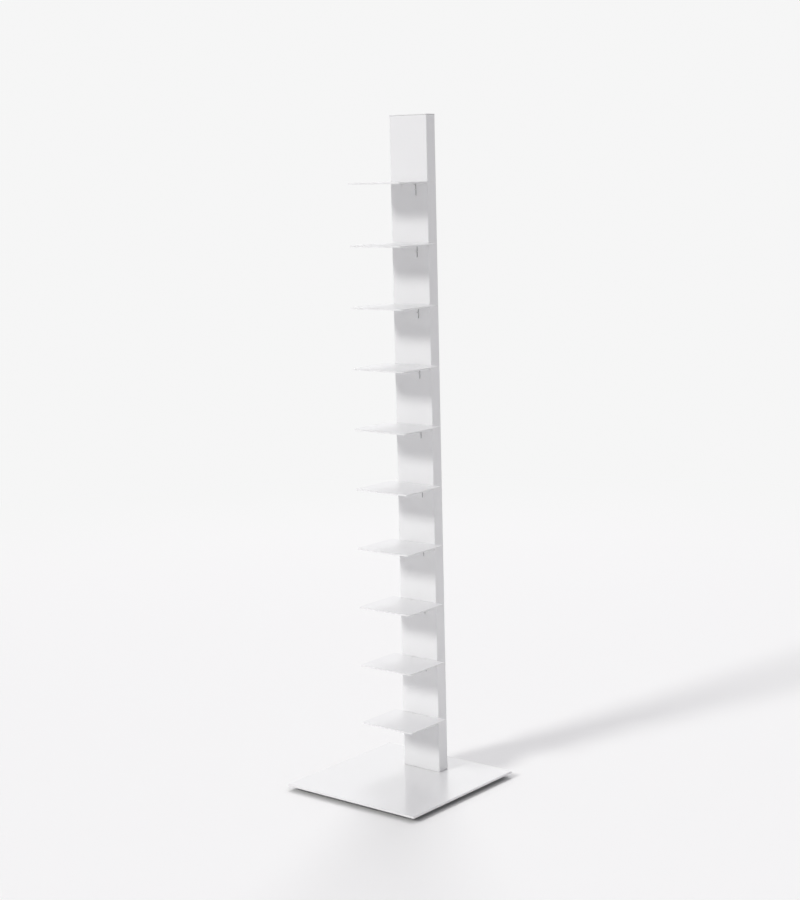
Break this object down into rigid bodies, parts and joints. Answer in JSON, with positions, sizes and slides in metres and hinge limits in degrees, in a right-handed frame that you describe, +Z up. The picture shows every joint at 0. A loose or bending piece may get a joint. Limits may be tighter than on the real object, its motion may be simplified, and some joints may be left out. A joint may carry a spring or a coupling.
{
  "type": "spine bookcase",
  "caption": "Slim free-standing steel column on a square floor plate, with small hook-in trays up its front that carry stacks of books laid flat.",
  "frame": {"origin": "on the floor, at the middle of the square base plate", "axes": "+Z up along the column; -Y is the front, where the trays reach out; +X is to the right of someone who faces the front"},
  "size_m": [0.35, 0.35, 1.45],
  "materials": {
    "base_lacquer": "satin white lacquer",
    "column_lacquer": "satin white lacquer",
    "tray_lacquer": "satin white lacquer",
    "foot_rubber": "matt moulded rubber",
    "zinc_steel": "bright zinc plate",
    "block_steel": "lacquered with the column",
    "black_screw_steel": "black oxide"
  },
  "bodies": {
    "root": {"base_plate": "base_lacquer", "foot_front_left": "foot_rubber", "foot_front_right": "foot_rubber", "foot_back_left": "foot_rubber", "foot_back_right": "foot_rubber", "foot_washers": "zinc_steel", "foot_screws": "zinc_steel", "column": "column_lacquer", "column_cap": "column_lacquer", "column_foot_block": "block_steel", "column_screws": "black_screw_steel", "tray_01": "tray_lacquer", "tray_02": "tray_lacquer", "tray_03": "tray_lacquer", "tray_04": "tray_lacquer", "tray_05": "tray_lacquer", "tray_06": "tray_lacquer", "tray_07": "tray_lacquer", "tray_08": "tray_lacquer", "tray_09": "tray_lacquer", "tray_10": "tray_lacquer"}
  },
  "joints": []
}
